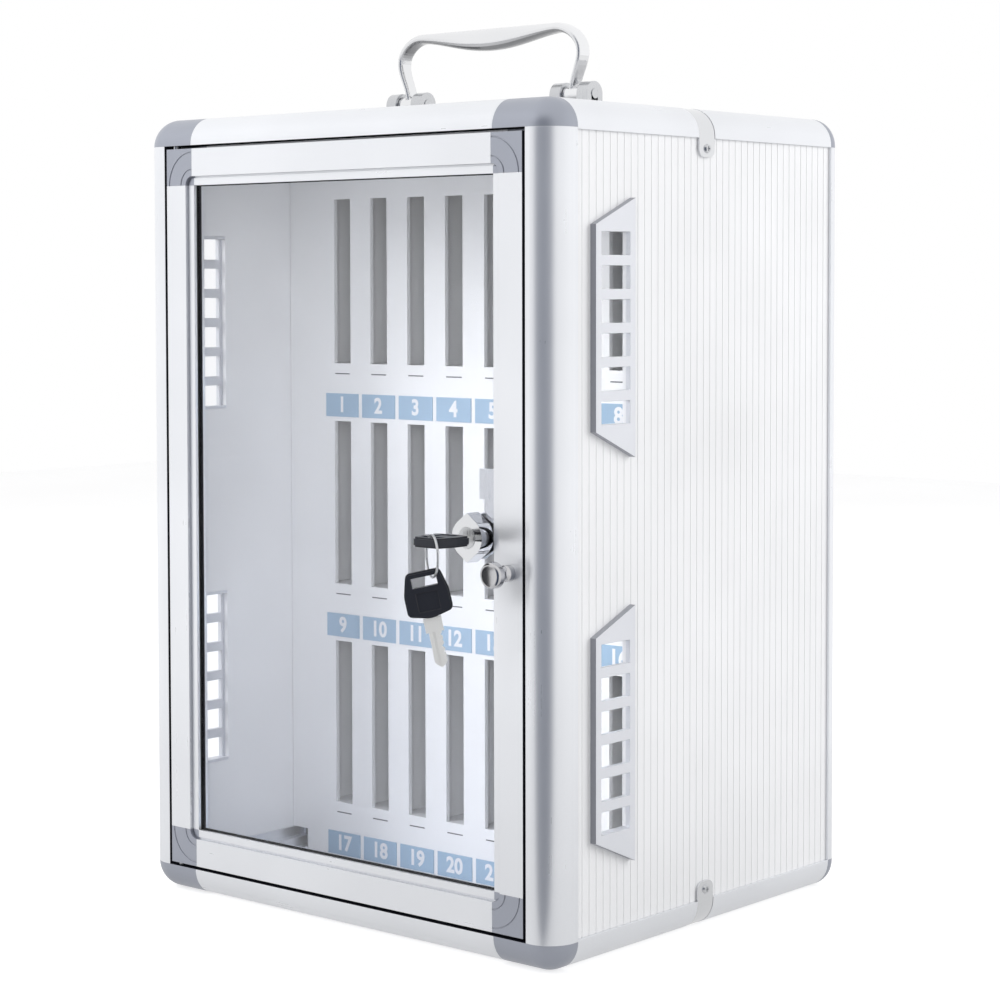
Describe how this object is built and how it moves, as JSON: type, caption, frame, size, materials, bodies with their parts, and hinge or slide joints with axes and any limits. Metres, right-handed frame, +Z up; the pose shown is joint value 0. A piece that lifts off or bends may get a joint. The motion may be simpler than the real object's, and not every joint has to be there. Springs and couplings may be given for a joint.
{
  "type": "cell phone locker box",
  "caption": "Portable framed cabinet with a glass door, cam lock and folding handle, whose slotted front leads to numbered phone pockets.",
  "frame": {"origin": "centre of the case's footprint, on the surface that it stands on", "axes": "+Z up, +X to the right seen from the front, the door faces -Y"},
  "size_m": [0.3346, 0.3295, 0.536],
  "materials": {
    "frame_alloy": "satin, pale silver powder or anodised finish",
    "corner_plastic": "satin moulded mid grey",
    "panel_sheet": "white sheet with fine upright ribs",
    "slot_sheet": "smooth white sheet",
    "vent_plastic": "satin silver grey",
    "label": "printed light blue with plain white numbers",
    "glass": "polished, faint grey tint",
    "gasket": "black glazing strip",
    "chrome": "polished plating",
    "knob_nickel": "satin nickel plating",
    "steel": "plated steel",
    "key_plastic": "black moulded key bow"
  },
  "bodies": {
    "case": {"front_upright_left": "frame_alloy", "front_upright_right": "frame_alloy", "front_rail_top": "frame_alloy", "front_rail_bottom": "frame_alloy", "rear_upright_left": "frame_alloy", "rear_upright_right": "frame_alloy", "rear_rail_top": "frame_alloy", "rear_rail_bottom": "frame_alloy", "side_rails_left": "frame_alloy", "side_rails_right": "frame_alloy", "front_corners_left": "corner_plastic", "front_corners_right": "corner_plastic", "rear_corners": "corner_plastic", "rail_joiners": "corner_plastic", "joint_clips": "chrome", "clip_screws": "chrome", "side_panel_left": "panel_sheet", "side_panel_right": "panel_sheet", "top_panel": "panel_sheet", "bottom_panel": "panel_sheet", "back_panel": "panel_sheet", "vents_left": "vent_plastic", "vents_right": "vent_plastic", "slot_panel": "slot_sheet", "shelf_top": "slot_sheet", "shelf_middle": "slot_sheet", "shelf_bottom": "slot_sheet", "dividers": "slot_sheet", "number_labels": "label", "handle_bracket_left": "chrome", "handle_bracket_right": "chrome", "bracket_screws": "chrome"},
    "door": {"door_stile_left": "frame_alloy", "door_stile_right": "frame_alloy", "door_rail_top": "frame_alloy", "door_rail_bottom": "frame_alloy", "door_corners_left": "corner_plastic", "door_corners_right": "corner_plastic", "door_glass": "glass", "glazing_gasket": "gasket", "pivot_pins": "steel", "lock_body": "chrome", "lock_nut": "chrome", "door_knob": "knob_nickel", "knob_screw": "chrome"},
    "lock": {"lock_plug": "chrome", "lock_cam": "steel", "cam_screw": "steel"},
    "key": {"key_bow": "key_plastic", "key_blade": "steel"},
    "ring": {"key_ring": "steel"},
    "spare_key": {"spare_key_bow": "key_plastic", "spare_key_blade": "steel"},
    "handle": {"handle": "chrome", "handle_pins": "steel"}
  },
  "joints": [
    {"name": "door_hinge", "type": "hinge", "parent": "case", "child": "door", "pos_m": [-0.1385, -0.136, 0.24], "axis": [0, 0, -1], "range_deg": [0, 110]},
    {"name": "lock_turn", "type": "hinge", "parent": "door", "child": "lock", "pos_m": [0.107, -0.14, 0.238], "axis": [0, 1, 0], "range_deg": [0, 90]},
    {"name": "key_slide", "type": "slide", "parent": "lock", "child": "key", "axis": [0, -1, 0], "range_m": [0, 0.0225]},
    {"name": "ring_swing", "type": "hinge", "parent": "key", "child": "ring", "pos_m": [0.111, -0.178, 0.238], "axis": [1, 0, 0], "range_deg": [-8, 8]},
    {"name": "spare_swing", "type": "hinge", "parent": "ring", "child": "spare_key", "pos_m": [0.111, -0.178, 0.2196], "axis": [-0.848, 0.5299, 0], "range_deg": [-8, 8]},
    {"name": "handle_fold", "type": "hinge", "parent": "case", "child": "handle", "pos_m": [0, 0, 0.492], "axis": [1, 0, 0], "range_deg": [-90, 90]}
  ]
}
